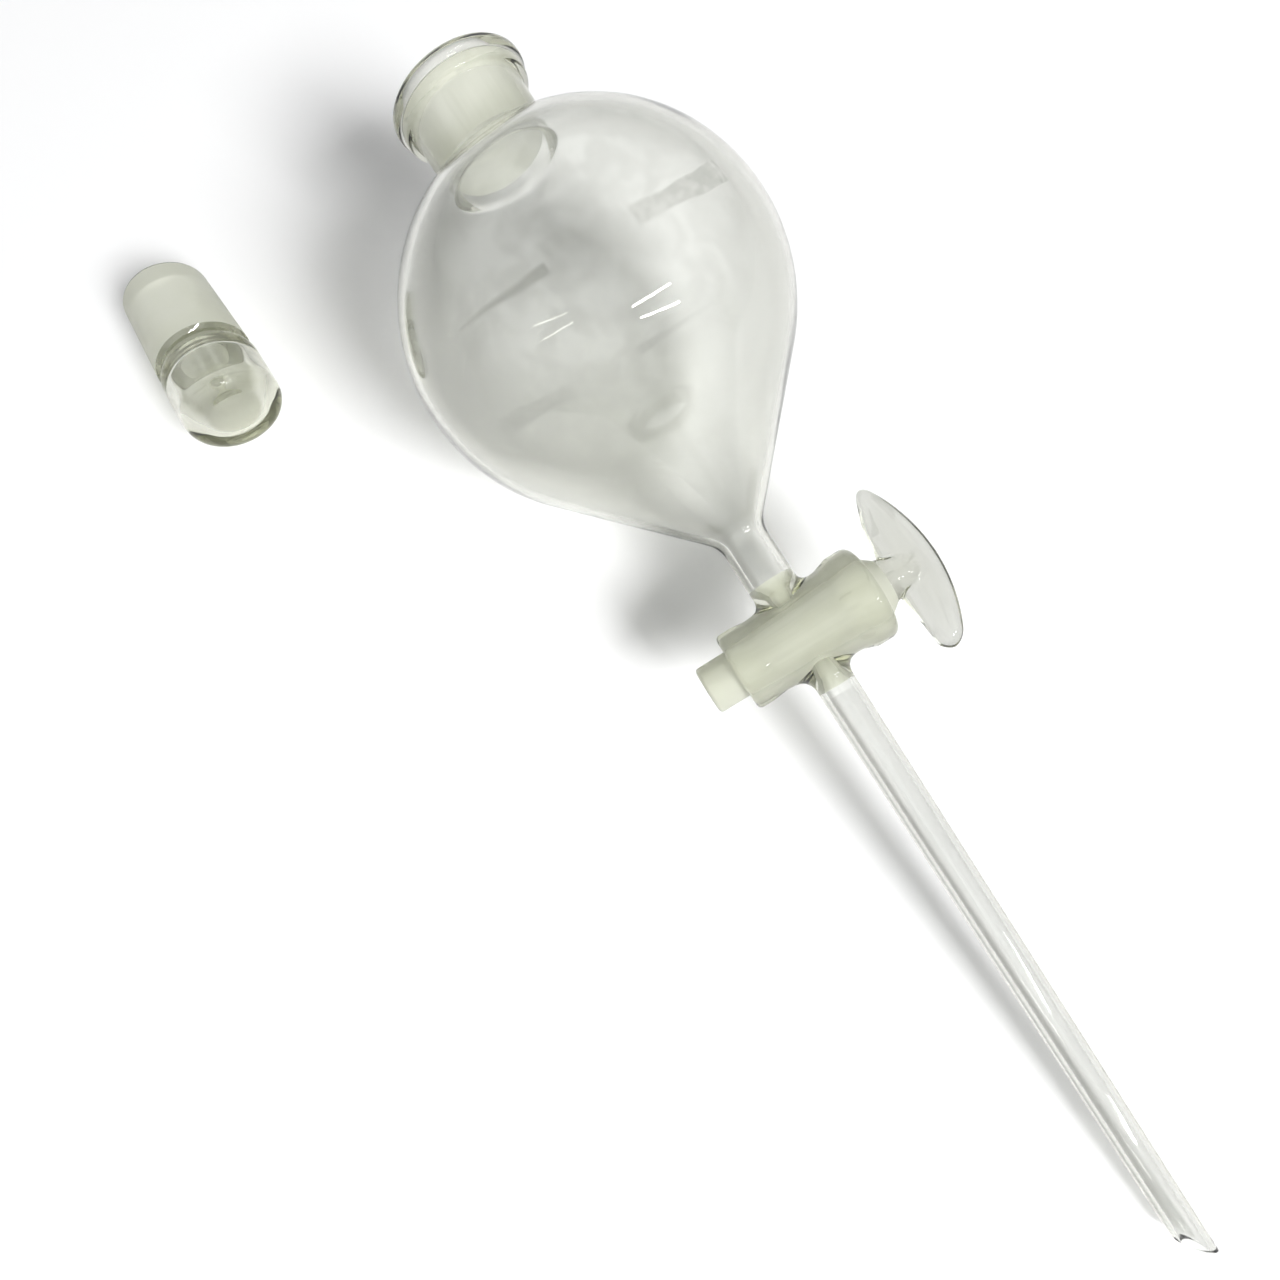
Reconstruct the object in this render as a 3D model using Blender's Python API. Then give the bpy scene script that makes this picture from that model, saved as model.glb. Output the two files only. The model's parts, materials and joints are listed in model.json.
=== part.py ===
"""Separatory funnel of about 250 mL, all in glass, lying on a bench with its stopper beside it.

The funnel is drawn in its own frame, which the empty funnel_axis holds: +Z runs from the
mouth to the stem's tip, and +X runs along the stopcock's axis towards its handle. Distances
called AT are measured from the mouth's rim along +Z. In the row frame the funnel rests on
its bulb and on the tip of its stem, with +X horizontal and +Z up.
"""

import math

import bmesh
import bpy
from mathutils import Matrix, Vector

MM = 0.001
GAP = 0.3  # clearance between pieces that touch
ROUND = 32  # sides of a turned piece
FINE = 20  # sides of a slim turned piece

# Neck, with its ground socket
NECK_R = 13.4
RIM_R = 16.15
LIP_FLAT_R = 14.5
SOCKET_MOUTH_R = 12.05
SOCKET_TAPER = 0.05
NECK_END = 18.3

# Bulb: a sphere that runs tangent into a cone
BULB_R = 42.0
BULB_AT = 60.5
CONE_HALF_ANGLE = math.radians(42.5)
WALL = 1.6
THROAT_R = 11.0
BULB_END = 120.5

# Outlet tube, stopcock and stem
TUBE_R = 5.1
TUBE_BORE_R = 3.6
STOPCOCK_AT = 141.0
BARREL_R = 9.0
BARREL_FAR_END = -16.0  # ends along the stopcock's axis, the handle being at plus
BARREL_NEAR_END = 16.8
PORT_R = 2.0
PLUG_SMALL_R = 5.2
PLUG_LARGE_R = 6.85
PLUG_FAR_END = -23.0
PLUG_NEAR_END = 19.3
STEM_TOP_R = 4.2
STEM_TIP_R = 3.05
STEM_WALL = 1.25
TIP_LONG_AT = 281.5
TIP_SHORT_AT = 275.7

# Stopcock handle: a shank and a boat-shaped wing, open when it lies along the stem
SHANK_R = 4.5
WING_HALF_LENGTH = 18.8
WING_CREST = 31.5
WING_TIP = 26.2
WING_ROOT = 20.1
WING_UNDERCUT = 0.38  # how steeply its underside runs in from the tips to the shank
WING_THICKNESS = 6.0

# Stopper, measured from the small end of its ground plug
STOPPER_SMALL_R = 10.75
STOPPER_LARGE_R = 11.8
STOPPER_PLUG_LENGTH = 24.2
STOPPER_HEAD_R = 12.2
STOPPER_LENGTH = 44.6
STOPPER_WALL = 2.6

# How the pieces lie, with the floor point under the bulb as zero
STOPCOCK_ROLL = math.radians(12.8)
LYING_TILT = math.asin((BULB_R - STEM_TIP_R) / ((TIP_LONG_AT + TIP_SHORT_AT) / 2 - BULB_AT))
STOPPER_PLACE = (-86.1, -79.7)
STOPPER_YAW = math.radians(1.6)

# Turns +Z onto the stopcock's axis, at its place along the funnel
ACROSS = Matrix.Translation((0, 0, STOPCOCK_AT * MM)) @ Matrix.Rotation(math.pi / 2, 4, "Y")

GLASS = {
    "clear_glass": ((0.86, 0.88, 0.84), 0.03),
    "ground_glass": ((0.80, 0.82, 0.74), 0.45),
}


def clear_scene():
    for obj in list(bpy.data.objects):
        bpy.data.objects.remove(obj)


def glass(name):
    """One Principled material for each kind of glass."""
    material = bpy.data.materials.get(name)
    if material is None:
        colour, roughness = GLASS[name]
        material = bpy.data.materials.new(name)
        material.use_nodes = True
        shader = material.node_tree.nodes["Principled BSDF"]
        shader.inputs["Base Color"].default_value = (*colour, 1)
        shader.inputs["Roughness"].default_value = roughness
        shader.inputs["Metallic"].default_value = 0
        shader.inputs["Transmission Weight"].default_value = 0.6
    return material


def empty(name, parent, matrix):
    holder = bpy.data.objects.new(name, None)
    bpy.context.scene.collection.objects.link(holder)
    holder.parent = parent
    holder.matrix_local = matrix
    return holder


def add_piece(name, mesh_maker, material, parent):
    """An object made of a bmesh drawn in millimetres, shaded smooth."""
    mesh = bpy.data.meshes.new(name)
    bmesh.ops.scale(mesh_maker, vec=(MM, MM, MM), verts=mesh_maker.verts)
    bmesh.ops.recalc_face_normals(mesh_maker, faces=mesh_maker.faces)
    mesh_maker.to_mesh(mesh)
    mesh_maker.free()
    mesh.shade_smooth()
    mesh.set_sharp_from_angle(angle=math.radians(35))
    piece = bpy.data.objects.new(name, mesh)
    bpy.context.scene.collection.objects.link(piece)
    piece.parent = parent
    if material:
        mesh.materials.append(glass(material))
    return piece


def arc(centre_z, centre_r, radius, start, end, steps):
    """Points (z, r) on a circle, with angles from +z in radians."""
    angles = [start + (end - start) * step / steps for step in range(steps + 1)]
    return [
        (centre_z + radius * math.cos(angle), centre_r + radius * math.sin(angle))
        for angle in angles
    ]


def rounded(points, steps=3):
    """The outline through (z, r, corner radius) points, with each corner turned into an arc."""
    outline = []
    for before, corner, after in zip([None, *points], points, [*points[1:], None]):
        here = Vector(corner[:2])
        if before is None or after is None or not corner[2]:
            outline.append(tuple(here))
            continue
        back = (Vector(before[:2]) - here).normalized()
        on = (Vector(after[:2]) - here).normalized()
        half = back.angle(on) / 2
        centre = here + (back + on).normalized() * (corner[2] / math.sin(half))
        reach = corner[2] / math.tan(half)
        first = here + back * reach - centre
        last = here + on * reach - centre
        turn = first.angle_signed(last)
        for step in range(steps + 1):
            spoke = Matrix.Rotation(-turn * step / steps, 2) @ first
            outline.append(tuple(centre + spoke))
    return outline


def turned(profile, sides=ROUND, closed=True):
    """A bmesh turned about Z from (z, r) points. An open profile starts and ends on the axis."""
    maker = bmesh.new()
    rim = [maker.verts.new((r, 0, z)) for z, r in profile]
    pairs = list(zip(rim, rim[1:]))
    if closed:
        pairs.append((rim[-1], rim[0]))
    edges = [maker.edges.new(pair) for pair in pairs]
    bmesh.ops.spin(
        maker,
        geom=rim + edges,
        cent=(0, 0, 0),
        axis=(0, 0, 1),
        angle=math.tau,
        steps=sides,
        use_merge=True,
    )
    bmesh.ops.remove_doubles(maker, verts=maker.verts, dist=1e-4)
    return maker


def cylinder(radius, start, end, sides=FINE):
    return turned([(start, 0), (start, radius), (end, radius), (end, 0)], sides, closed=False)


def cutter(name, mesh_maker, matrix, parent):
    tool = add_piece(name, mesh_maker, None, parent)
    tool.matrix_local = matrix
    tool.hide_render = True
    tool.display_type = "WIRE"
    return tool


def cut(piece, tool, operation="DIFFERENCE"):
    boolean = piece.modifiers.new(tool.name, "BOOLEAN")
    boolean.operation = operation
    boolean.solver = "EXACT"
    boolean.object = tool


def socket_r(at):
    """Radius of the ground socket at a distance from the mouth."""
    return SOCKET_MOUTH_R - SOCKET_TAPER * at


def make_neck(parent):
    outside = rounded(
        [
            (0, LIP_FLAT_R, 0),
            (0, RIM_R, 1.4),
            (3.1, RIM_R, 1.5),
            (3.3, RIM_R - 1.2, 0),
            (3.7, RIM_R - 0.8, 0.6),
            (5.7, RIM_R - 1.0, 1.2),
            (6.6, NECK_R, 0.8),
            (NECK_END, NECK_R, 0),
        ]
    )
    inside = [(NECK_END, socket_r(NECK_END)), (1.2, socket_r(1.2)), (0.4, 12.35), (0, 12.9)]
    add_piece("neck_socket", turned(outside + inside), "ground_glass", parent)


def bulb_outline(offset, throat_r, outlet_r, steps):
    """The pear's outline, set in from its outer surface by the offset."""
    radius = BULB_R - offset
    leave = math.pi / 2 - CONE_HALF_ANGLE  # where the cone leaves the sphere, from +z
    meet = math.pi - math.asin((throat_r + 1.8) / radius)
    sphere = arc(BULB_AT, 0, radius, meet, leave, steps)
    neck_corner = BULB_AT - math.sqrt(radius**2 - throat_r**2)
    cone_z, cone_r = sphere[-1]
    foot_z = cone_z + (cone_r - outlet_r) / math.tan(CONE_HALF_ANGLE)
    top = rounded(
        [(NECK_END + GAP, throat_r, 0), (neck_corner, throat_r, 1.4), (*sphere[0], 0)], 3
    )
    foot = rounded([(cone_z, cone_r, 0), (foot_z, outlet_r, 7.0), (BULB_END, outlet_r, 0)], 5)
    return top[:-1] + sphere[:-1] + foot


def make_bulb(parent):
    outside = bulb_outline(0, NECK_R, TUBE_R, 18)
    inside = bulb_outline(WALL, THROAT_R, TUBE_BORE_R, 14)
    add_piece("bulb", turned(outside + inside[::-1]), "clear_glass", parent)


def make_outlet_tube(parent):
    start = BULB_END + GAP
    middle = STOPCOCK_AT - BARREL_R
    profile = rounded(
        [
            (start, TUBE_R, 0),
            (middle - 1.5, TUBE_R, 3.0),
            (middle + 1.2, TUBE_R + 1.8, 0),
            (STOPCOCK_AT - 5, TUBE_R + 1.8, 0),
            (STOPCOCK_AT - 5, PORT_R, 0),
            (middle - 1.0, PORT_R, 0),
            (middle - 3.0, TUBE_BORE_R, 2.0),
            (start, TUBE_BORE_R, 0),
        ]
    )
    tube = add_piece("outlet_tube", turned(profile, FINE), "clear_glass", parent)
    saddle = turned(barrel_skin(GAP), closed=False)
    cut(tube, cutter("outlet_tube_saddle", saddle, ACROSS, parent))


def barrel_skin(clearance=0.0):
    """Outside of the barrel as an open profile. Its flange is on the handle's side."""
    far, near = BARREL_FAR_END - clearance, BARREL_NEAR_END + clearance
    skin = [
        (far, 8.7, 1.2),
        (-12.5, 8.7, 2.0),
        (-9.0, 8.3, 4.0),
        (0.0, BARREL_R, 8.0),
        (8.5, 9.4, 3.0),
        (11.5, 10.45, 2.0),
        (near, 10.45, 2.2),
    ]
    grown = [(along, radius + clearance, corner) for along, radius, corner in skin]
    return rounded([(far, 0, 0), *grown, (near, 0, 0)])


def plug_r(along):
    """Radius of the tapered plug at a distance along the stopcock's axis."""
    slope = (PLUG_LARGE_R - PLUG_SMALL_R) / (BARREL_NEAR_END - BARREL_FAR_END)
    return PLUG_SMALL_R + max(along - BARREL_FAR_END, 0) * slope


def make_barrel(parent):
    outside = [point for point in barrel_skin() if point[1] > 0]
    bore = [(end, plug_r(end) + GAP) for end in (BARREL_NEAR_END, BARREL_FAR_END)]
    barrel = add_piece("stopcock_barrel", turned(outside + bore), "ground_glass", parent)
    barrel.matrix_local = ACROSS
    ports = cylinder(PORT_R, STOPCOCK_AT - 15, STOPCOCK_AT + 15)
    cut(barrel, cutter("barrel_ports", ports, Matrix(), parent))


def stem_r(at):
    """Outer radius of the stem, which narrows evenly to its tip."""
    share = (at - STOPCOCK_AT) / (TIP_LONG_AT - STOPCOCK_AT)
    return STEM_TOP_R + (STEM_TIP_R - STEM_TOP_R) * share


def make_stem(parent):
    foot = STOPCOCK_AT + BARREL_R
    past_tip = TIP_LONG_AT + 3
    profile = rounded(
        [
            (STOPCOCK_AT + 5, STEM_TOP_R + 1.9, 0),
            (foot - 0.6, STEM_TOP_R + 1.9, 0),
            (foot + 2.6, stem_r(foot + 2.6), 3.5),
            (past_tip, stem_r(past_tip), 0),
            (past_tip, stem_r(past_tip) - STEM_WALL, 0),
            (foot + 4.0, stem_r(foot) - STEM_WALL, 1.0),
            (foot + 2.0, PORT_R, 0),
            (STOPCOCK_AT + 5, PORT_R, 0),
        ]
    )
    stem = add_piece("stem", turned(profile, FINE), "clear_glass", parent)
    saddle = turned(barrel_skin(GAP), closed=False)
    cut(stem, cutter("stem_saddle", saddle, ACROSS, parent))
    lean = math.atan2(TIP_LONG_AT - TIP_SHORT_AT, 2 * STEM_TIP_R)
    middle = (TIP_LONG_AT + TIP_SHORT_AT) / 2
    bevel = Matrix.Translation((0, 0, middle * MM)) @ Matrix.Rotation(-lean, 4, "Y")
    cut(stem, cutter("tip_bevel", cylinder(20, 0, 20), bevel, parent))


def make_plug(parent):
    ground_end = BARREL_NEAR_END + GAP
    profile = rounded(
        [
            (PLUG_FAR_END, 0, 0),
            (PLUG_FAR_END, PLUG_SMALL_R, 0.8),
            (BARREL_FAR_END, PLUG_SMALL_R, 0),
            (ground_end, plug_r(ground_end), 0.8),
            (PLUG_NEAR_END, SHANK_R + 0.5, 0.6),
            (PLUG_NEAR_END, 0, 0),
        ]
    )
    plug = add_piece(
        "stopcock_plug", turned(profile, ROUND, closed=False), "ground_glass", parent
    )
    bore = cylinder(PORT_R, -12, 12)
    along_funnel = Matrix.Rotation(math.pi / 2, 4, "Y")
    cut(plug, cutter("plug_bore", bore, along_funnel, parent))


def wing():
    """A boat-shaped blade along X, with its arched crest to +Z and oval sections."""
    stations, sides = 16, 16
    rise = WING_CREST - WING_TIP
    crest_r = (WING_HALF_LENGTH**2 + rise**2) / (2 * rise)
    maker = bmesh.new()
    rings = []
    for station in range(stations + 1):
        share = -math.cos(math.pi * station / stations)
        x = share * (WING_HALF_LENGTH - 0.4)
        top = WING_CREST - crest_r + math.sqrt(crest_r**2 - x**2)
        foot = max(WING_TIP - 1.0 - WING_UNDERCUT * (WING_HALF_LENGTH - abs(x)), WING_ROOT)
        round_end = math.sqrt(max(1 - abs(share) ** 6, 0.03))
        middle = (top + foot) / 2
        height = (top - foot) / 2 * round_end
        depth = WING_THICKNESS / 2 * (1 - 0.35 * share**2) * round_end
        angles = [math.tau * side / sides for side in range(sides)]
        rings.append(
            [
                maker.verts.new((x, depth * math.sin(angle), middle + height * math.cos(angle)))
                for angle in angles
            ]
        )
    for ring, following in zip(rings, rings[1:]):
        for side in range(sides):
            nearby = (side + 1) % sides
            maker.faces.new((ring[side], ring[nearby], following[nearby], following[side]))
    maker.faces.new(rings[0][::-1])
    maker.faces.new(rings[-1])
    return maker


def make_handle(parent):
    foot = PLUG_NEAR_END + GAP
    shank = rounded(
        [
            (foot, 0, 0),
            (foot, SHANK_R + 0.6, 0.5),
            (foot + 2.4, SHANK_R - 0.3, 2.0),
            (WING_TIP + 0.8, SHANK_R + 0.4, 0),
            (WING_TIP + 0.8, 0, 0),
        ]
    )
    handle = add_piece(
        "stopcock_handle", turned(shank, FINE, closed=False), "clear_glass", parent
    )
    blade = cutter("handle_wing", wing(), Matrix(), parent)
    cut(handle, blade, "UNION")


def make_stopper(parent):
    """Ground plug and hollow head, one inside surface running through both."""
    joint = STOPPER_PLUG_LENGTH + 0.8
    waist_r = STOPPER_LARGE_R - 0.9
    plug = rounded(
        [
            (0, 0, 0),
            (0, STOPPER_SMALL_R, 1.2),
            (STOPPER_PLUG_LENGTH, STOPPER_LARGE_R, 0.5),
            (joint, waist_r, 0),
            (joint, 5.8, 0),
            (joint - 2.6, 5.8, 1.5),
            (joint - 6.0, STOPPER_LARGE_R - STOPPER_WALL, 3.0),
            (3.0, STOPPER_SMALL_R - STOPPER_WALL, 3.0),
            (3.0, 0, 0),
        ]
    )
    add_piece("stopper_plug", turned(plug, ROUND, closed=False), "ground_glass", parent)
    head = rounded(
        [
            (STOPPER_LENGTH - 3.2, 0, 0),
            (STOPPER_LENGTH - 3.2, STOPPER_HEAD_R - STOPPER_WALL, 4.0),
            (joint + 4.5, STOPPER_HEAD_R - STOPPER_WALL, 3.5),
            (joint + GAP + 0.8, 5.8, 1.0),
            (joint + GAP, 5.8, 0),
            (joint + GAP, waist_r, 0),
            (joint + 3.5, STOPPER_HEAD_R, 6.0),
            (STOPPER_LENGTH, STOPPER_HEAD_R, 4.2),
            (STOPPER_LENGTH, 0, 0),
        ]
    )
    add_piece("stopper_head", turned(head[::-1], ROUND, closed=False), "clear_glass", parent)


def lying_matrix():
    """Funnel frame to the floor under the bulb: mouth raised, stem tip on the floor."""
    down = Vector((math.cos(LYING_TILT), 0, -math.sin(LYING_TILT)))
    up = Vector((math.sin(LYING_TILT), 0, math.cos(LYING_TILT)))
    level = Vector((0, 1, 0))
    across = level * math.cos(STOPCOCK_ROLL) + up * math.sin(STOPCOCK_ROLL)
    turn = Matrix((across, down.cross(across), down)).transposed().to_4x4()
    mouth = Vector((0, 0, BULB_R * MM)) - down * (BULB_AT * MM)
    return Matrix.Translation(mouth) @ turn


def stopper_matrix():
    """The stopper rests on the small end of its plug and on the foot of its head."""
    lean = math.atan2(STOPPER_HEAD_R - STOPPER_SMALL_R, STOPPER_PLUG_LENGTH + 5)
    height = STOPPER_SMALL_R * math.cos(lean)
    place = Vector((*STOPPER_PLACE, height)) * MM
    point = Matrix.Rotation(math.pi / 2 - lean, 4, "Y")
    return Matrix.Translation(place) @ Matrix.Rotation(STOPPER_YAW, 4, "Z") @ point


def world_box():
    bpy.context.view_layer.update()
    graph = bpy.context.evaluated_depsgraph_get()
    points = []
    for obj in bpy.data.objects:
        if obj.type == "MESH" and not obj.hide_render:
            solid = obj.evaluated_get(graph)
            points += [solid.matrix_world @ vertex.co for vertex in solid.data.vertices]
    low = Vector([min(point[axis] for point in points) for axis in range(3)])
    high = Vector([max(point[axis] for point in points) for axis in range(3)])
    return low, high


def main():
    clear_scene()
    row = empty("row_frame", None, Matrix())
    funnel = empty("funnel_axis", row, lying_matrix())
    make_neck(funnel)
    make_bulb(funnel)
    make_outlet_tube(funnel)
    make_barrel(funnel)
    make_stem(funnel)
    stopcock = empty("stopcock_axis", funnel, ACROSS)
    make_plug(stopcock)
    make_handle(stopcock)
    make_stopper(empty("stopper_axis", row, stopper_matrix()))
    low, high = world_box()
    row.location = (-(low.x + high.x) / 2, -(low.y + high.y) / 2, -low.z)
    bpy.context.view_layer.update()


main()
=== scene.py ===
"""Looks of the separatory funnel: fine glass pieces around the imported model, a floor, lamps and the camera.

Every piece is drawn in millimetres in a frame of its own. The funnel's frame has +Z from the mouth to the
stem's tip, with the mouth's rim at zero, and +X towards the stopcock's handle. The stopper's frame starts at
the small end of its ground plug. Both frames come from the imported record, and so do the bodies.
The pieces of one blown body meet face to face, and the faces where they meet are clear to every ray, so the
glass runs on from piece to piece without a joint, as flame-sealed glass does.
"""

import json
import math

import bmesh
import bpy
from mathutils import Matrix, Vector, noise


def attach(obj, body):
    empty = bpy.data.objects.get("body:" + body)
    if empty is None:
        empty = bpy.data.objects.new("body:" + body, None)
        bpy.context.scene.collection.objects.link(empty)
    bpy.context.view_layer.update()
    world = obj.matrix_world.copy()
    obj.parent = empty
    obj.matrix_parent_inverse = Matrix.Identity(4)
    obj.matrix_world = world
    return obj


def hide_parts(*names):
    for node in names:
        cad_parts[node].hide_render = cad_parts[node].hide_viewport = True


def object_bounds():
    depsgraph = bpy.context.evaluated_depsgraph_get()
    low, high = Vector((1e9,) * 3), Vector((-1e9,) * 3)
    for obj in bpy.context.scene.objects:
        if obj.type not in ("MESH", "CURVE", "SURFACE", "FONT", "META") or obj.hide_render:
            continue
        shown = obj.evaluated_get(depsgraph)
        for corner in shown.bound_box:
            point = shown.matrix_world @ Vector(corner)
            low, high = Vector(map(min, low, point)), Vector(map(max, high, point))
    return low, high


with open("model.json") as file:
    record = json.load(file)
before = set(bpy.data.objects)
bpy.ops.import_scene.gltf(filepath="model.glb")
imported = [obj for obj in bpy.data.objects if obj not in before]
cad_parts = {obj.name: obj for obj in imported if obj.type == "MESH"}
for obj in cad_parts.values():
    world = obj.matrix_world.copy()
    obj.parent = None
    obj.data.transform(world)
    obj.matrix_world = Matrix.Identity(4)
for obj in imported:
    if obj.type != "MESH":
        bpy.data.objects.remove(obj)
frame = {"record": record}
cad_low, cad_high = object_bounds()
record = frame["record"]

MM = 0.001
SIDES = 128  # round the funnel's axis
BARREL_SIDES = 96  # round the stopcock's axis

# Neck and bulb, as in the CAD model
NECK_R = 13.4
RIM_R = 16.15
LIP_FLAT_R = 14.5
SOCKET_MOUTH_R = 12.05
SOCKET_TAPER = 0.05
GROUND_END = 17.2
NECK_SEAM = 18.45
BULB_R = 42.0
BULB_AT = 60.5
CONE_HALF_ANGLE = math.radians(42.5)
WALL = 1.6
BULB_WAVES = 0.09  # how unevenly the bulb's inside was blown
THROAT_R = 11.1
BULB_SEAM = 120.65
SEAM_GAP = 0.006  # between two seams' faces

# Outlet tube, stopcock and stem
TUBE_R = 5.1
TUBE_BORE_R = 3.6
STOPCOCK_AT = 141.0
STUB = 14.5  # how far the barrel's stubs reach from its axis, to the tube and to the stem
STUB_FOOT_R = 7.2  # where a stub's melted fillet starts on the barrel
FILLET_RISE = 1.15  # how far the fillet runs up the stub, beside how far it stands out from it
STUB_WINDOW = 8.4  # half the length of the barrel's stretch round the stubs
BARREL_FAR_END = -16.0
BARREL_NEAR_END = 16.8
BORE_GAP = 0.12
PORT_R = 2.0
PORT_WINDOW = 3.3  # half the length of the stretch round the port, in the bore and on the plug
PORT_WIDENING = 3.0  # over which the drilled port opens to the bore of the tube or the stem
PORT_TO_TUBE = 9.0  # how far from the axis the widening starts
PORT_TO_STEM = 9.6
PORT_GROUND_TO = 12.8  # how far from the axis the drilled port stays matt
PLUG_SMALL_R = 5.2
PLUG_LARGE_R = 6.85
PLUG_FAR_END = -23.0
KEY_SEAM = 19.45
STEM_TOP_R = 4.2
STEM_TIP_R = 3.05
STEM_WALL = 1.25
TIP_LONG_AT = 281.5
TIP_SHORT_AT = 275.7
TIP_AT = (TIP_LONG_AT + TIP_SHORT_AT) / 2
TIP_REACH = 14  # the stretch of the stem that leans into the slanting cut

# Stopcock handle
SHANK_R = 4.5
WING_HALF_LENGTH = 18.8
WING_CREST = 31.5
WING_TIP = 26.2
WING_ROOT = 20.1
WING_UNDERCUT = 0.38
WING_THICKNESS = 6.0
WING_TIP_WIDTHS = (2.6, 5.0)  # the horn towards the bulb is the slender one
MELT_GRAIN = 0.26  # how finely wing and shank are remeshed where they melt into one
MELT_ROUNDS = 60
SHANK_HELD = 2.2  # how far above its seam the melted shank is brought back to its turned outline
SHANK_HELD_FADE = 1.2  # the last stretch of that, where the outline lets go

# Stopper
STOPPER_SMALL_R = 10.75
STOPPER_LARGE_R = 11.8
STOPPER_PLUG_LENGTH = 24.2
STOPPER_SEAM = 25.15
STOPPER_WAIST_R = 5.8
STOPPER_HEAD_R = 12.2
STOPPER_LENGTH = 44.6
STOPPER_WALL = 2.6
STOPPER_FLOOR = 3.0
STOPPER_END_WALL = 3.2

# Finishes of a piece's faces, kept as material numbers until the mesh is made
CLEAR, GROUND, SEAM = range(3)

# Glass
CLEAR_PALE = (0.87, 0.873, 0.867)
CLEAR_DEEP = (0.84, 0.844, 0.838)
STEM_SHARE = 0.93  # how much light the stem's glass passes, beside the bulb's
WING_SHARE = 0.78  # the same for the wing
HEAD_SHARE = 1.1  # the same for the stopper's head
SOCKET_SHARE = 0.88  # how much the neck's ground glass passes, beside the stopcock's
GROUND_TRANSMISSION = 0.5
GROUND_PALE = (0.675, 0.685, 0.605)
GROUND_DEEP = (0.645, 0.655, 0.56)
GLASS_IOR = 1.47
GLASS_TINT = (0.67, 0.675, 0.54)
GLASS_TINT_DENSITY = 95

# The floor and the room
FLOOR_HALF = 3.0
FLOOR_GREY = 0.93
ROOM_EVEN = 0.21  # the even light that matt surfaces get
ROOM_BACKDROP = 0.94  # as plain as the floor, in views that look past its edge
ROOM_HORIZON = 1.0
ROOM_CEILING = 2.6
ROOM_CEILING_FROM = 0.7  # how far up, of 1, the ceiling's full light starts
ROOM_PATCHES = (0.75, 1.15)
ROOM_OVERHEAD = 0.88  # share of the ceiling's light that is left straight above, where the onlooker stands
TUBE_LAMP_AWAY = 1.6
TUBE_LAMP_WIDTH = 0.03
TUBE_LAMP_GLOW = 60
KEY_LAMP_FROM = (2.6, 0.52, 2.25)
KEY_LAMP_SIZE = (1.1, 1.1)
KEY_LAMP_POWER = 165
BEAM_AWAY = 0.9

# The camera, from the bulb's centre
CAMERA_FROM_BULB = Vector((120.6, -60.5, 179.1)) * MM
CAMERA_TURN = [math.radians(angle) for angle in (18.76, 1.18, 58.07)]
CAMERA_LENS = 28.0
CAMERA_SENSOR = 36.0


# ---------------------------------------------------------------- frames


def named(entries, name):
    return next(entry for entry in entries if entry["name"] == name)


def funnel_frame():
    stopcock = named(record["behaviour"]["joints"], "stopcock_turn")
    across = Vector(stopcock["axis"]).normalized()
    along = -Vector(named(record["mounts"], "mouth_rim")["axis"]).normalized()
    turn = Matrix((across, along.cross(across), along)).transposed().to_4x4()
    mouth = Vector(stopcock["pos_m"]) - along * (STOPCOCK_AT * MM)
    return Matrix.Translation(mouth) @ turn


def stopper_frame():
    top = named(record["mounts"], "stopper_top")
    along = Vector(top["axis"]).normalized()
    small_end = Vector(top["pos_m"]) - along * (STOPPER_LENGTH * MM)
    return Matrix.Translation(small_end) @ along.to_track_quat("Z", "Y").to_matrix().to_4x4()


FUNNEL = funnel_frame()
BULB_CENTRE = FUNNEL @ Vector((0, 0, BULB_AT * MM))
STOPCOCK = FUNNEL @ Matrix.Translation((0, 0, STOPCOCK_AT * MM))
STOPPER = stopper_frame()


# ---------------------------------------------------------------- outlines, as (z, r) points


def arc(centre_z, radius, start, end, steps):
    """Points on a circle about a point of the axis, with angles from +z in radians."""
    angles = [start + (end - start) * step / steps for step in range(steps + 1)]
    return [(centre_z + radius * math.cos(angle), radius * math.sin(angle)) for angle in angles]


def rounded(points, steps=10):
    """The outline through (z, r, corner radius) points, with each corner turned into an arc."""
    outline = []
    for before, corner, after in zip([None, *points], points, [*points[1:], None]):
        here = Vector(corner[:2])
        if before is None or after is None or not corner[2]:
            outline.append(tuple(here))
            continue
        back = (Vector(before[:2]) - here).normalized()
        on = (Vector(after[:2]) - here).normalized()
        half = back.angle(on) / 2
        centre = here + (back + on).normalized() * (corner[2] / math.sin(half))
        reach = corner[2] / math.tan(half)
        first = here + back * reach - centre
        turn = first.angle_signed(here + on * reach - centre)
        for step in range(steps + 1):
            spoke = Matrix.Rotation(-turn * step / steps, 2) @ first
            outline.append(tuple(centre + spoke))
    return outline


def divided(outline, longest=1.5):
    """The same outline with its long straight stretches cut into short ones."""
    points = [outline[0]]
    for start, end in zip(outline, outline[1:]):
        count = max(1, math.ceil(math.dist(start, end) / longest))
        for step in range(1, count + 1):
            share = step / count
            points.append(tuple(a + (b - a) * share for a, b in zip(start, end)))
    return points


def radius_on(outline, z):
    """Radius of an outline that runs along z, at a place between its points."""
    for (z0, r0), (z1, r1) in zip(outline, outline[1:]):
        if min(z0, z1) <= z <= max(z0, z1) and z0 != z1:
            return r0 + (r1 - r0) * (z - z0) / (z1 - z0)
    return outline[0][1] if abs(z - outline[0][0]) < abs(z - outline[-1][0]) else outline[-1][1]


# ---------------------------------------------------------------- mesh work


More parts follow.
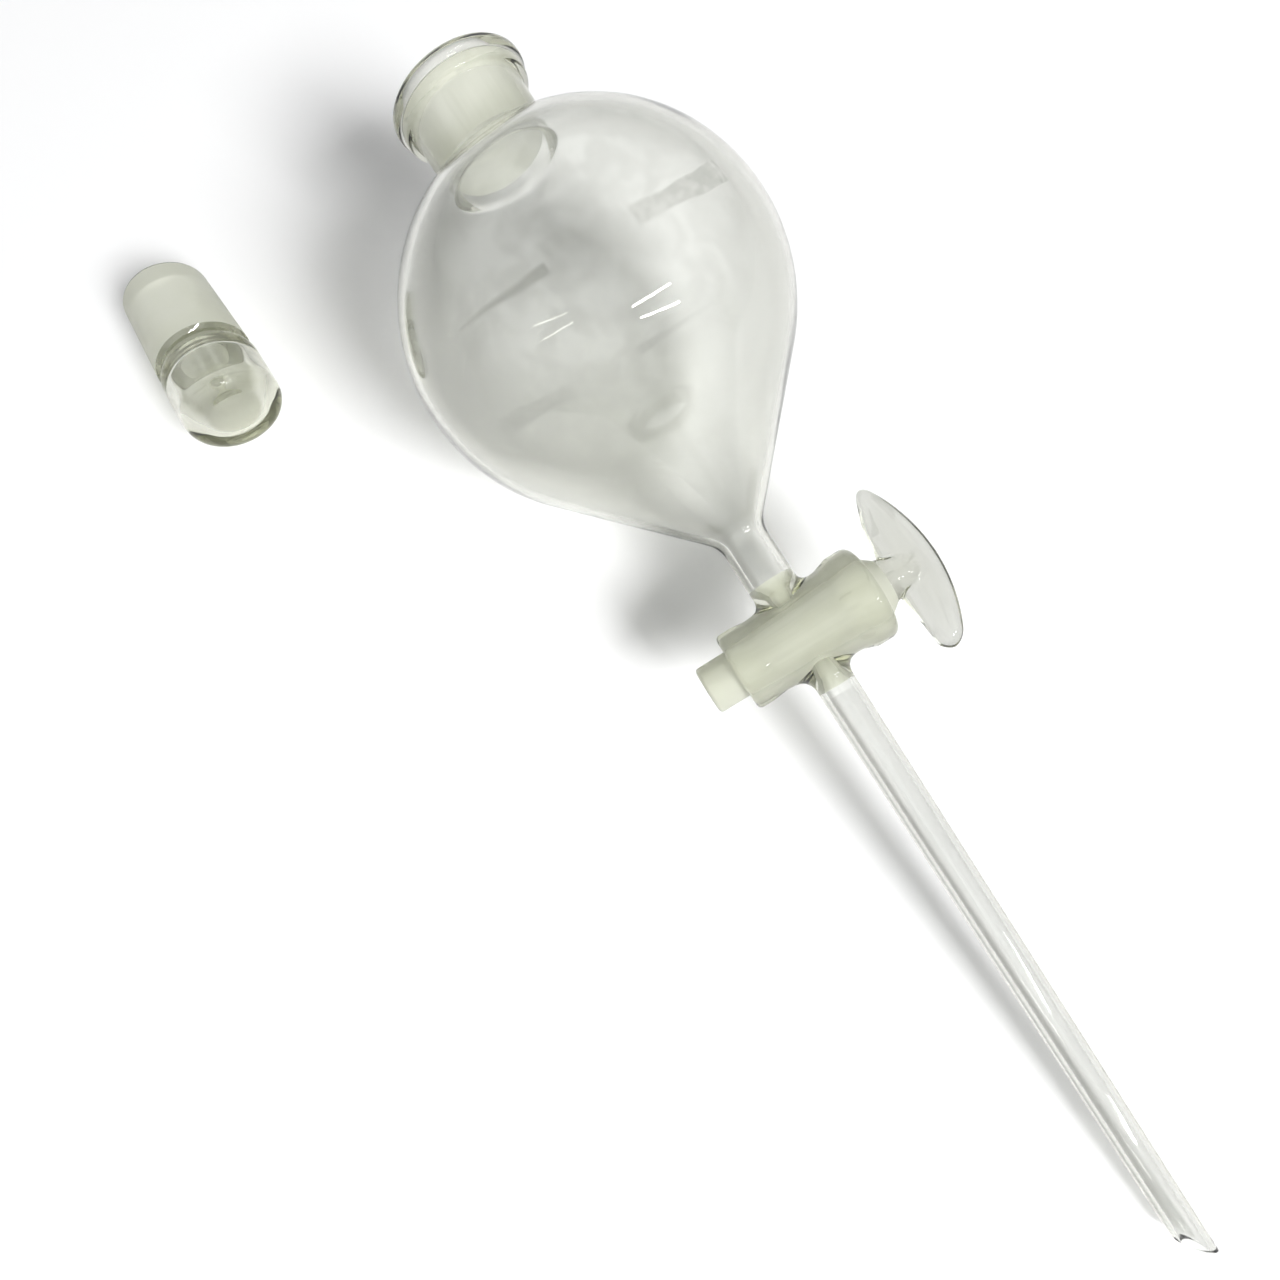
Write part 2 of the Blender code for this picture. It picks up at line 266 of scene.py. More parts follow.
def finish_mesh(maker, name, matrix, sharp=40):
    """An object made of a bmesh drawn in millimetres, smooth but for its sharp edges."""
    bmesh.ops.recalc_face_normals(maker, faces=maker.faces)
    drawn_in = {}
    for face in maker.faces:
        if face.material_index == SEAM:
            drawn_in.update((vertex, face.normal * (SEAM_GAP / 2)) for vertex in face.verts)
    for vertex, step in drawn_in.items():
        vertex.co -= step
    bmesh.ops.scale(maker, vec=(MM, MM, MM), verts=maker.verts)
    mesh = bpy.data.meshes.new(name)
    maker.to_mesh(mesh)
    maker.free()
    for attribute, finish in (("ground", GROUND), ("sealed", SEAM)):
        marks = mesh.attributes.new(attribute, "FLOAT", "FACE")
        for face in mesh.polygons:
            marks.data[face.index].value = float(face.material_index == finish)
    for face in mesh.polygons:
        face.material_index = 0
    mesh.shade_smooth()
    mesh.set_sharp_from_angle(angle=math.radians(sharp))
    piece = bpy.data.objects.new(name, mesh)
    bpy.context.scene.collection.objects.link(piece)
    piece.matrix_world = matrix
    return piece


def bridge(maker, ring, following, finish):
    """Faces between two rings of as many points, or between a ring and a single point."""
    count = max(len(ring), len(following))
    for index in range(count):
        corners = [ring[index % len(ring)], ring[(index + 1) % len(ring)]]
        corners += [following[(index + 1) % len(following)], following[index % len(following)]]
        corners = list(dict.fromkeys(corners))
        face = maker.faces.new(corners)
        face.material_index = finish


def waviness(point, depth):
    """How far blown glass swells at a point: long soft lumps, drawn out a little along the axis. It dies
    away towards the bulb's ends, where the next pieces meet it."""
    lumps = noise.noise(Vector((point[0] / 17, point[1] / 17, point[2] / 45)))
    ripple = noise.noise(Vector((point[0] / 7, point[1] / 7, point[2] / 40 + 7)))
    ends = min(1.0, max(0.0, (min(point[2] - NECK_SEAM, BULB_SEAM - point[2]) - 1) / 8))
    return depth * ends * (lumps + 0.25 * ripple)


def lathe(stretches, sides=SIDES, reshape=None):
    """A bmesh turned about Z. Each stretch is (outline, finish, waviness depth), and each starts where the
    one before it ended. The last one ends where the first started, or on the axis."""
    maker = bmesh.new()
    first = None
    ring = None
    for outline, finish, depth in stretches:
        for number, (z, r) in enumerate(outline):
            if ring is not None and number == 0:
                continue
            following = []
            for side in range(sides if r > 1e-6 else 1):
                angle = math.tau * side / sides
                point = Vector((r * math.cos(angle), r * math.sin(angle), z))
                if depth and r > 1e-6:
                    swollen = 1 + waviness(point, depth) / r
                    point = Vector((point.x * swollen, point.y * swollen, z))
                following.append(maker.verts.new(reshape(point) if reshape else point))
            if ring is not None:
                bridge(maker, ring, following, finish)
            ring = following
            first = first or following
    if len(ring) > 1:
        bmesh.ops.remove_doubles(maker, verts=[*first, *ring], dist=1e-4)
    return maker


def joined(before, middle, after):
    """One outline of three stretches, and the numbers of the first and last point of its middle."""
    return before + middle + after, (len(before), len(before) + len(middle) - 1)


def pierced(maker, outline, window, hole_r, across, finish, radius_of, loops=8, easing=1.3):
    """A skin turned about X and pierced from +Z and -Z. The outline is (x, r) points; window is the first
    and last number of the points beside the holes; across is how many sides a hole's window takes.
    Returns the skin's first and last rings and the rings round its two holes."""
    sides = BARREL_SIDES
    low, high = window
    half = across // 2
    holes = (0, sides // 2)

    def place(x, angle):
        radius = radius_of(x)
        return Vector((x, radius * math.sin(angle), radius * math.cos(angle)))

    def near_hole(side):
        return any(abs((side - hole + sides / 2) % sides - sides / 2) < half for hole in holes)

    grid = {}
    for index, (x, r) in enumerate(outline):
        for side in range(sides):
            if low < index < high and near_hole(side):
                continue
            angle = math.tau * side / sides
            grid[index, side] = maker.verts.new((x, r * math.sin(angle), r * math.cos(angle)))
    for index in range(len(outline) - 1):
        for side in range(sides):
            if low <= index < high and near_hole(side + 0.5):
                continue
            turned_on = (side + 1) % sides
            keys = [(index, side), (index, turned_on), (index + 1, turned_on), (index + 1, side)]
            face = maker.faces.new([grid[key] for key in keys])
            face.material_index = finish
    walk = [(high, step) for step in range(half)]
    walk += [(index, half) for index in range(high, low, -1)]
    walk += [(low, step) for step in range(half, -half, -1)]
    walk += [(index, -half) for index in range(low, high)]
    walk += [(high, step) for step in range(-half, 0)]
    hole_rings = []
    for hole in holes:
        start = math.tau * hole / sides
        ring = [grid[index, (hole + step) % sides] for index, step in walk]
        edge = [(outline[index][0], start + math.tau * step / sides) for index, step in walk]
        rim = []
        for number in range(len(walk)):
            angle = math.tau * number / len(walk)
            x = hole_r * math.cos(angle)
            rim.append((x, start + math.asin(hole_r * math.sin(angle) / radius_of(x))))
        for loop in range(1, loops + 1):
            share = (1 - loop / loops) ** easing
            flat = [
                (a[0] + (b[0] - a[0]) * share, a[1] + (b[1] - a[1]) * share)
                for a, b in zip(rim, edge)
            ]
            following = [maker.verts.new(place(*spot)) for spot in flat]
            bridge(maker, ring, following, finish)
            ring = following
        hole_rings.append(ring)
    first = [grid[0, side] for side in range(sides)]
    last = [grid[len(outline) - 1, side] for side in range(sides)]
    return first, last, hole_rings


# ---------------------------------------------------------------- materials


def node(tree, kind, **values):
    made = tree.nodes.new(kind)
    for name, value in values.items():
        setattr(made, name, value)
    return made


def attribute_of(tree, name):
    return node(tree, "ShaderNodeAttribute", attribute_name=name).outputs["Fac"]


def mapped(tree, value, window, ends, smooth=False):
    """A value carried from inside a window to between two ends."""
    kind = "SMOOTHSTEP" if smooth else "LINEAR"
    made = node(tree, "ShaderNodeMapRange", interpolation_type=kind)
    for name, number in zip(("From Min", "From Max", "To Min", "To Max"), (*window, *ends)):
        made.inputs[name].default_value = number
    tree.links.new(value, made.inputs["Value"])
    return made.outputs["Result"]


def noise_between(tree, place, scale, detail, window, ends, distortion=0.0, smooth=False):
    """A noise whose middle values, those inside the window, are spread between two ends."""
    made = node(tree, "ShaderNodeTexNoise")
    for name, number in (("Scale", scale), ("Detail", detail), ("Distortion", distortion)):
        made.inputs[name].default_value = number
    tree.links.new(place, made.inputs["Vector"])
    return mapped(tree, made.outputs["Fac"], window, ends, smooth)


def multiplied(tree, first, second):
    made = node(tree, "ShaderNodeMath", operation="MULTIPLY")
    tree.links.new(first, made.inputs[0])
    tree.links.new(second, made.inputs[1])
    return made.outputs["Value"]


def blend_values(tree, factor, first, second):
    made = node(tree, "ShaderNodeMix", data_type="FLOAT")
    tree.links.new(factor, made.inputs[0])
    for socket, value in ((made.inputs[2], first), (made.inputs[3], second)):
        if isinstance(value, (int, float)):
            socket.default_value = value
        else:
            tree.links.new(value, socket)
    return made.outputs[0]


def blend_colours(tree, factor, first, second):
    made = node(tree, "ShaderNodeMix", data_type="RGBA")
    tree.links.new(factor, made.inputs[0])
    for socket, value in ((made.inputs[6], first), (made.inputs[7], second)):
        if isinstance(value, tuple):
            socket.default_value = (*value, 1)
        else:
            tree.links.new(value, socket)
    return made.outputs[2]


def blend_shaders(tree, factor, first, second):
    made = node(tree, "ShaderNodeMixShader")
    for socket, value in zip(made.inputs, (factor, first, second)):
        tree.links.new(value, socket)
    return made.outputs["Shader"]


def see_through(tree, share):
    made = node(tree, "ShaderNodeBsdfTransparent")
    made.inputs["Color"].default_value = (share, share, share, 1)
    return made.outputs["BSDF"]


def scaled(colour, share):
    return tuple(channel * share for channel in colour)


def glass(name, lamp_share, clear_share=1.0, ground_share=1.0):
    """Glass with faint draw lines and handling marks, matt where its mesh says it is ground, and clear to
    every ray where its mesh says it is sealed to the next piece. A lamp's light goes straight through."""
    material = bpy.data.materials.new(name)
    material.use_nodes = True
    tree = material.node_tree
    tree.nodes.clear()
    link = tree.links.new
    place = node(tree, "ShaderNodeTexCoord").outputs["Object"]
    ground = attribute_of(tree, "ground")
    shader = node(tree, "ShaderNodeBsdfPrincipled")
    shader.inputs["IOR"].default_value = GLASS_IOR

    smears = noise_between(tree, place, scale=90, detail=6, window=(0.5, 0.8), ends=(0.0, 0.013))
    matt = noise_between(tree, place, scale=260, detail=5, window=(0.3, 0.7), ends=(0.40, 0.58))
    link(blend_values(tree, ground, smears, matt), shader.inputs["Roughness"])
    link(blend_values(tree, ground, 1.0, GROUND_TRANSMISSION), shader.inputs["Transmission Weight"])

    patches = noise_between(tree, place, scale=45, detail=4, window=(0.35, 0.65), ends=(0.0, 1.0))
    clear_ends = scaled(CLEAR_PALE, clear_share), scaled(CLEAR_DEEP, clear_share)
    ground_ends = scaled(GROUND_PALE, ground_share), scaled(GROUND_DEEP, ground_share)
    clear_colour = blend_colours(tree, patches, *clear_ends)
    ground_colour = blend_colours(tree, patches, *ground_ends)
    link(blend_colours(tree, ground, clear_colour, ground_colour), shader.inputs["Base Color"])

    draw_lines = noise_between(tree, place, scale=150, detail=2, window=(0, 1), ends=(0, 0.000006))
    grain = noise_between(tree, place, scale=4200, detail=3, window=(0, 1), ends=(0, 0.000004))
    bump = node(tree, "ShaderNodeBump")
    bump.inputs["Strength"].default_value = 1
    bump.inputs["Distance"].default_value = 1
    link(blend_values(tree, ground, draw_lines, grain), bump.inputs["Height"])
    link(bump.outputs["Normal"], shader.inputs["Normal"])

    from_lamp = node(tree, "ShaderNodeLightPath").outputs["Is Shadow Ray"]
    surface = blend_shaders(tree, from_lamp, shader.outputs["BSDF"], see_through(tree, lamp_share))
    surface = blend_shaders(tree, attribute_of(tree, "sealed"), surface, see_through(tree, 1))
    output = node(tree, "ShaderNodeOutputMaterial")
    link(surface, output.inputs["Surface"])

    tint = node(tree, "ShaderNodeVolumeAbsorption")
    tint.inputs["Color"].default_value = (*GLASS_TINT, 1)
    tint.inputs["Density"].default_value = GLASS_TINT_DENSITY
    link(tint.outputs["Volume"], output.inputs["Volume"])
    return material


# One glass to a piece: its tint starts and ends at the same material, whichever faces a ray goes through
BULB_GLASS = glass("flame_polished", lamp_share=0.62)
STEM_GLASS = glass("drawn_tube", lamp_share=0.58, clear_share=STEM_SHARE)
WING_GLASS = glass("pressed_wing", lamp_share=0.5, clear_share=WING_SHARE)
HEAD_GLASS = glass("blown_head", lamp_share=0.62, clear_share=HEAD_SHARE)
PART_GROUND_GLASS = glass("part_ground", lamp_share=0.42)
NECK_GLASS = glass("ground_socket", lamp_share=0.42, ground_share=SOCKET_SHARE)


def stand_for(piece, material, body, node_name):
    piece.data.materials.append(material)
    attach(piece, body)
    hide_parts(node_name)


# ---------------------------------------------------------------- the blown body


def socket_r(at):
    return SOCKET_MOUTH_R - SOCKET_TAPER * at


def make_neck():
    """Neck with a rolled double rim, ground inside."""
    outside = rounded(
        [
            (0, LIP_FLAT_R, 0),
            (0, RIM_R, 1.4),
            (3.1, RIM_R, 1.5),
            (3.3, RIM_R - 1.2, 0.15),
            (3.7, RIM_R - 0.8, 0.5),
            (5.7, RIM_R - 1.0, 1.2),
            (6.6, NECK_R, 0.8),
            (NECK_SEAM, NECK_R, 0),
        ]
    )
    throat = rounded([(NECK_SEAM, THROAT_R, 0), (GROUND_END, socket_r(GROUND_END), 0)])
    lip = rounded([(1.4, socket_r(1.4), 0), (0, 12.6, 0.9), (0, LIP_FLAT_R, 0)])
    maker = lathe(
        [
            (divided(outside), CLEAR, 0),
            ([(NECK_SEAM, NECK_R), (NECK_SEAM, THROAT_R)], SEAM, 0),
            (throat, CLEAR, 0),
            (divided([(GROUND_END, socket_r(GROUND_END)), (1.4, socket_r(1.4))]), GROUND, 0),
            (lip, CLEAR, 0),
        ]
    )
    piece = finish_mesh(maker, "neck_glass", FUNNEL)
    stand_for(piece, NECK_GLASS, "glass_body", "neck_socket")


def bulb_outline(offset, throat_r, outlet_r, flare, shoulder, steps):
    """The pear's outline, set in from its outer surface by the offset. It leaves the neck round a shoulder of
    the given radius, and reaches the sphere where that is wider than the throat by the flare."""
    radius = BULB_R - offset
    leave = math.pi / 2 - CONE_HALF_ANGLE
    meet = math.pi - math.asin((throat_r + flare) / radius)
    sphere = arc(BULB_AT, radius, meet, leave, steps)
    neck_corner = BULB_AT - math.sqrt(radius**2 - throat_r**2)
    cone_z, cone_r = sphere[-1]
    foot_z = cone_z + (cone_r - outlet_r) / math.tan(CONE_HALF_ANGLE)
    top = rounded([(NECK_SEAM, throat_r, 0), (neck_corner, throat_r, shoulder), (*sphere[0], 0)], 8)
    foot = rounded([(cone_z, cone_r, 0), (foot_z, outlet_r, 7.0), (BULB_SEAM, outlet_r, 0)], 14)
    return divided(top[:-1] + sphere[:-1] + foot)


def make_bulb():
    outside = bulb_outline(0, NECK_R, TUBE_R, flare=1.8, shoulder=1.4, steps=66)
    inside = bulb_outline(WALL, THROAT_R, TUBE_BORE_R, flare=6.5, shoulder=4.4, steps=60)[::-1]
    maker = lathe(
        [
            (outside, CLEAR, 0),
            ([outside[-1], inside[0]], SEAM, 0),
            (inside, CLEAR, BULB_WAVES),
            ([inside[-1], outside[0]], SEAM, 0),
        ]
    )
    stand_for(finish_mesh(maker, "bulb_glass", FUNNEL), BULB_GLASS, "glass_body", "bulb")


def make_tube():
    start, end = BULB_SEAM, STOPCOCK_AT - STUB
    maker = lathe(
        [
            (divided([(start, TUBE_R), (end, TUBE_R)]), CLEAR, 0),
            ([(end, TUBE_R), (end, TUBE_BORE_R)], SEAM, 0),
            (divided([(end, TUBE_BORE_R), (start, TUBE_BORE_R)]), CLEAR, 0),
            ([(start, TUBE_BORE_R), (start, TUBE_R)], SEAM, 0),
        ]
    )
    piece = finish_mesh(maker, "outlet_tube_glass", FUNNEL)
    stand_for(piece, BULB_GLASS, "glass_body", "outlet_tube")


def stem_r(at):
    """Outer radius of the stem, which narrows evenly to its tip."""
    share = (at - STOPCOCK_AT) / (TIP_LONG_AT - STOPCOCK_AT)
    return STEM_TOP_R + (STEM_TIP_R - STEM_TOP_R) * share


def bevelled(point):
    """Slides the stem's last points along it, more and more, so that its tip ends in a slanting cut."""
    slope = (TIP_LONG_AT - TIP_SHORT_AT) / (2 * STEM_TIP_R)
    share = max(0.0, 1 - (TIP_AT - point.z) / TIP_REACH)
    return point + Vector((0, 0, slope * point.x * share))


def make_stem():
    start = STOPCOCK_AT + STUB
    start_r, tip_r = stem_r(start), stem_r(TIP_AT)
    bore_r = tip_r - STEM_WALL
    outside = rounded([(start, start_r, 0), (TIP_AT, tip_r, 0.5), (TIP_AT, tip_r - 0.7, 0)], 5)
    inside = rounded([(TIP_AT, bore_r + 0.4, 0), (TIP_AT, bore_r, 0.35), (start, start_r - STEM_WALL, 0)], 4)
    maker = lathe(
        [
            (divided(outside, 2.5), CLEAR, 0),
            ([outside[-1], inside[0]], CLEAR, 0),
            (divided(inside, 2.5), CLEAR, 0),
            ([inside[-1], outside[0]], SEAM, 0),
        ],
        reshape=bevelled,
    )
    stand_for(finish_mesh(maker, "stem_glass", FUNNEL), STEM_GLASS, "glass_body", "stem")


# ---------------------------------------------------------------- the stopcock


def plug_r(along):
    slope = (PLUG_LARGE_R - PLUG_SMALL_R) / (BARREL_NEAR_END - BARREL_FAR_END)
    return PLUG_SMALL_R + max(along - BARREL_FAR_END, 0) * slope


def spread(start, end, count):
    return [start + (end - start) * step / count for step in range(count + 1)]


def channel_outline(widens_at, bore_r):
    """(r, height) points of a stub's channel: the narrow port, its widening, then the tube's bore."""
    wide_at = widens_at + PORT_WIDENING
    return rounded(
        [(PORT_R, widens_at - 1, 0), (PORT_R, widens_at, 1.5), (bore_r, wide_at, 2.5), (bore_r, STUB, 0)], 8
    )


def stub(maker, side, foot_ring, port_ring, skin_r, tube_r, channel):
    """One of the barrel's two stubs: a melted fillet up to the tube's outside, and the channel inside it."""
    angles = [math.tau * number / len(foot_ring) for number in range(len(foot_ring))]

    def ring_at(radii, heights):
        spots = zip(radii, heights, angles)
        return [
            maker.verts.new((r * math.cos(angle), r * math.sin(angle) * side, height * side))
            for r, height, angle in spots
        ]

    def skin_height(radius, angle):
        across = radius * math.sin(angle)
        return math.sqrt(max(skin_r(radius * math.cos(angle)) ** 2 - across**2, 0))

    profiles = []
    for angle in angles:
        foot = skin_height(STUB_FOOT_R, angle)
        slope = (foot - skin_height(STUB_FOOT_R - 0.1, angle)) / 0.1
        corner = foot + (tube_r - STUB_FOOT_R) * slope
        profiles.append((foot, corner, corner + (STUB_FOOT_R - tube_r) * FILLET_RISE))
    ring = foot_ring
    steps = 9
    for step in range(1, steps + 1):
        share = step / steps
        weights = ((1 - share) ** 2, 2 * share * (1 - share), share**2)
        radius = STUB_FOOT_R * weights[0] + tube_r * (1 - weights[0])
        heights = [sum(weight * part for weight, part in zip(weights, profile)) for profile in profiles]
        following = ring_at([radius] * len(angles), heights)
        bridge(maker, ring, following, CLEAR)
        ring = following
    steps = 4
    for step in range(1, steps + 1):
        heights = [top + (STUB - top) * step / steps for _, _, top in profiles]
        following = ring_at([tube_r] * len(angles), heights)
        bridge(maker, ring, following, CLEAR)
        ring = following
    outer_seam = ring
    ring = port_ring
    for radius, height in channel:
        following = ring_at([radius] * len(angles), [height] * len(angles))
        bridge(maker, ring, following, GROUND if height < PORT_GROUND_TO else CLEAR)
        ring = following
    bridge(maker, outer_seam, ring, SEAM)


def make_barrel():
    """The tapered barrel with its stubs: clear outside, ground inside where the plug runs."""
    skin = rounded(
        [
            (BARREL_FAR_END, plug_r(BARREL_FAR_END) + BORE_GAP + 0.5, 0),
            (BARREL_FAR_END, 8.7, 1.2),
            (-12.5, 8.7, 2.0),
            (-9.0, 8.3, 4.0),
            (0.0, 9.0, 8.0),
            (8.5, 9.4, 3.0),
            (11.5, 10.45, 2.0),
            (BARREL_NEAR_END, 10.45, 2.2),
            (BARREL_NEAR_END, plug_r(BARREL_NEAR_END) + BORE_GAP + 0.5, 0),
        ],
        16,
    )

    def skin_r(x):
        return radius_on(skin, x)

    def bore_r(x):
        return plug_r(x) + BORE_GAP

    outline, window = joined(
        [point for point in skin if point[0] < -STUB_WINDOW - 0.2],
        [(x, skin_r(x)) for x in spread(-STUB_WINDOW, STUB_WINDOW, 34)],
        [point for point in skin if point[0] > STUB_WINDOW + 0.2],
    )
    maker = bmesh.new()
    far, near, feet = pierced(maker, outline, window, STUB_FOOT_R, 30, CLEAR, skin_r)
    bore_at, window = joined(
        spread(BARREL_FAR_END + 0.4, -PORT_WINDOW, 12)[:-1],
        spread(-PORT_WINDOW, PORT_WINDOW, 44),
        spread(PORT_WINDOW, BARREL_NEAR_END - 0.4, 12)[1:],
    )
    bore = [(x, bore_r(x)) for x in bore_at]
    bore_far, bore_near, ports = pierced(maker, bore, window, PORT_R, 20, GROUND, bore_r)
    bridge(maker, near, bore_near, CLEAR)
    bridge(maker, far, bore_far, CLEAR)
    stem_top_r = stem_r(STOPCOCK_AT + STUB)
    to_stem = channel_outline(PORT_TO_STEM, stem_top_r - STEM_WALL)
    to_tube = channel_outline(PORT_TO_TUBE, TUBE_BORE_R)
    stub(maker, 1, feet[0], ports[0], skin_r, stem_top_r, to_stem)
    stub(maker, -1, feet[1], ports[1], skin_r, TUBE_R, to_tube)
    piece = finish_mesh(maker, "stopcock_barrel_glass", STOPCOCK)
    stand_for(piece, PART_GROUND_GLASS, "glass_body", "stopcock_barrel")


def make_plug():
    """The tapered key, ground all over where it runs in the barrel, with its cross bore."""
    skin = rounded(
        [
            (PLUG_FAR_END, 0, 0),
            (PLUG_FAR_END, PLUG_SMALL_R, 0.8),
            (BARREL_FAR_END, PLUG_SMALL_R, 0),
            (BARREL_NEAR_END + 0.3, plug_r(BARREL_NEAR_END + 0.3), 0.8),
            (KEY_SEAM, SHANK_R + 0.5, 0),
        ],
        8,
    )
    skin = [point for point in divided(skin) if point[1] > 1e-6]
    outline, window = joined(
        [point for point in skin if point[0] < -PORT_WINDOW - 0.2],
        [(x, plug_r(x)) for x in spread(-PORT_WINDOW, PORT_WINDOW, 44)],
        [point for point in skin if point[0] > PORT_WINDOW + 0.2],
    )
    maker = bmesh.new()
    far, near, ports = pierced(maker, outline, window, PORT_R, 20, GROUND, plug_r)
    bridge(maker, far, [maker.verts.new((PLUG_FAR_END, 0, 0))], GROUND)
    bridge(maker, near, [maker.verts.new((KEY_SEAM, 0, 0))], SEAM)
    count = len(ports[0])
    angles = [math.tau * number / count for number in range(count)]
    ring = ports[0]
    for height in spread(4, -4, 4):
        following = [
            maker.verts.new((PORT_R * math.cos(angle), PORT_R * math.sin(angle), height)) for angle in angles
        ]
        bridge(maker, ring, following, CLEAR)
        ring = following
    bridge(maker, ring, [ports[1][-number % count] for number in range(count)], CLEAR)
    piece = finish_mesh(maker, "stopcock_plug_glass", STOPCOCK)
    stand_for(piece, PART_GROUND_GLASS, "stopcock_key", "stopcock_plug")


def shank_outline():
    """Outside of the turned shank, as (x, r) points."""
    return rounded(
        [
            (KEY_SEAM, SHANK_R + 0.5, 0),
            (KEY_SEAM + 0.9, SHANK_R + 0.2, 0.5),
            (22.0, SHANK_R - 0.3, 2.0),
            (24.5, SHANK_R - 0.1, 2.0),
            (28.5, SHANK_R - 2.2, 3.0),
            (29.5, 0.6, 0),
        ]
    )


def wing_mesh():
    """A boat-shaped blade along Z, with its arched crest to +X and oval sections."""
    stations, sides = 56, 48
    rise = WING_CREST - WING_TIP
    crest_r = (WING_HALF_LENGTH**2 + rise**2) / (2 * rise)
    maker = bmesh.new()
    rings = []
    for station in range(1, stations):
        share = -math.cos(math.pi * station / stations)
        along = share * WING_HALF_LENGTH
        to_end = WING_HALF_LENGTH - abs(along)
        width = WING_TIP_WIDTHS[along > 0]
        into_cap = max(0.0, 1 - to_end / (width / 2))
        cap = math.sqrt(1 - into_cap**2)
        top = WING_CREST - crest_r + math.sqrt(crest_r**2 - along**2)
        foot = max(WING_TIP - 0.8 * width - WING_UNDERCUT * to_end, WING_ROOT)
        middle, height = (top + foot) / 2, (top - foot) / 2 * cap
        depth = WING_THICKNESS / 2 * (1 - 0.35 * share**2) * cap
        ring = []
        for side in range(sides):
            angle = math.tau * side / sides
            spot = (middle + height * math.cos(angle), depth * math.sin(angle), along)
            ring.append(maker.verts.new(spot))
        rings.append(ring)
    for ring, following in zip(rings, rings[1:]):
        bridge(maker, ring, following, CLEAR)
    for ring in (rings[0], rings[-1]):
        maker.faces.new(ring)
    return maker


def evaluated_mesh(piece):
    bpy.context.view_layer.update()
    graph = bpy.context.evaluated_depsgraph_get()
    return bpy.data.meshes.new_from_object(piece.evaluated_get(graph))


def rough_object(name, maker):
    bmesh.ops.recalc_face_normals(maker, faces=maker.faces)
    mesh = bpy.data.meshes.new(name)
    maker.to_mesh(mesh)
    maker.free()
    piece = bpy.data.objects.new(name, mesh)
    bpy.context.scene.collection.objects.link(piece)
    return piece


def shank_mesh():
    """The turned shank along X, with a little more of it below the seam, for the square cut to come."""
    sides = 64
    maker = bmesh.new()
    ring = None
    for x, r in divided([(KEY_SEAM - 2.5, SHANK_R + 0.5)] + shank_outline(), 0.8):
        angles = [math.tau * side / sides for side in range(sides)]
        following = [maker.verts.new((x, r * math.sin(angle), r * math.cos(angle))) for angle in angles]
        if ring:
            bridge(maker, ring, following, CLEAR)
        else:
            maker.faces.new(following)
        ring = following
    maker.faces.new(ring)
    return maker


def melted(shank, wing):
    """The two shapes joined, remeshed and smoothed into one."""
    union = shank.modifiers.new("union", "BOOLEAN")
    union.operation = "UNION"
    union.solver = "EXACT"
    union.object = wing
    remesh = shank.modifiers.new("remesh", "REMESH")
    remesh.mode = "VOXEL"
    remesh.voxel_size = MELT_GRAIN
    remesh.use_smooth_shade = True
    smooth = shank.modifiers.new("smooth", "SMOOTH")
    smooth.factor = 0.5
    smooth.iterations = MELT_ROUNDS
    maker = bmesh.new()
    maker.from_mesh(evaluated_mesh(shank))
    bpy.data.objects.remove(shank)
    bpy.data.objects.remove(wing)
    return maker


def make_handle():
    """Wing and shank melted into one, with the shank held to its outline at the seam and cut square there."""
    maker = melted(rough_object("handle_shank", shank_mesh()), rough_object("handle_wing", wing_mesh()))
    outline = shank_outline()
    for vertex in maker.verts:
        x, y, z = vertex.co
        held = min(1.0, max(0.0, (KEY_SEAM + SHANK_HELD - x) / SHANK_HELD_FADE))
        radius = math.hypot(y, z)
        if held and radius > 1:
            wanted = radius + (radius_on(outline, max(x, KEY_SEAM)) - radius) * held
            vertex.co = (x, y * wanted / radius, z * wanted / radius)
    everything = [*maker.verts, *maker.edges, *maker.faces]
    cut = bmesh.ops.bisect_plane(
        maker, geom=everything, plane_co=(KEY_SEAM, 0, 0), plane_no=(1, 0, 0), clear_inner=True
    )
    for face in maker.faces:
        face.material_index = CLEAR
    edges = [item for item in cut["geom_cut"] if isinstance(item, bmesh.types.BMEdge)]
    for face in bmesh.ops.holes_fill(maker, edges=edges, sides=0)["faces"]:
        face.material_index = SEAM
    piece = finish_mesh(maker, "stopcock_handle_glass", STOPCOCK, sharp=80)
    stand_for(piece, WING_GLASS, "stopcock_key", "stopcock_handle")


# ---------------------------------------------------------------- the stopper


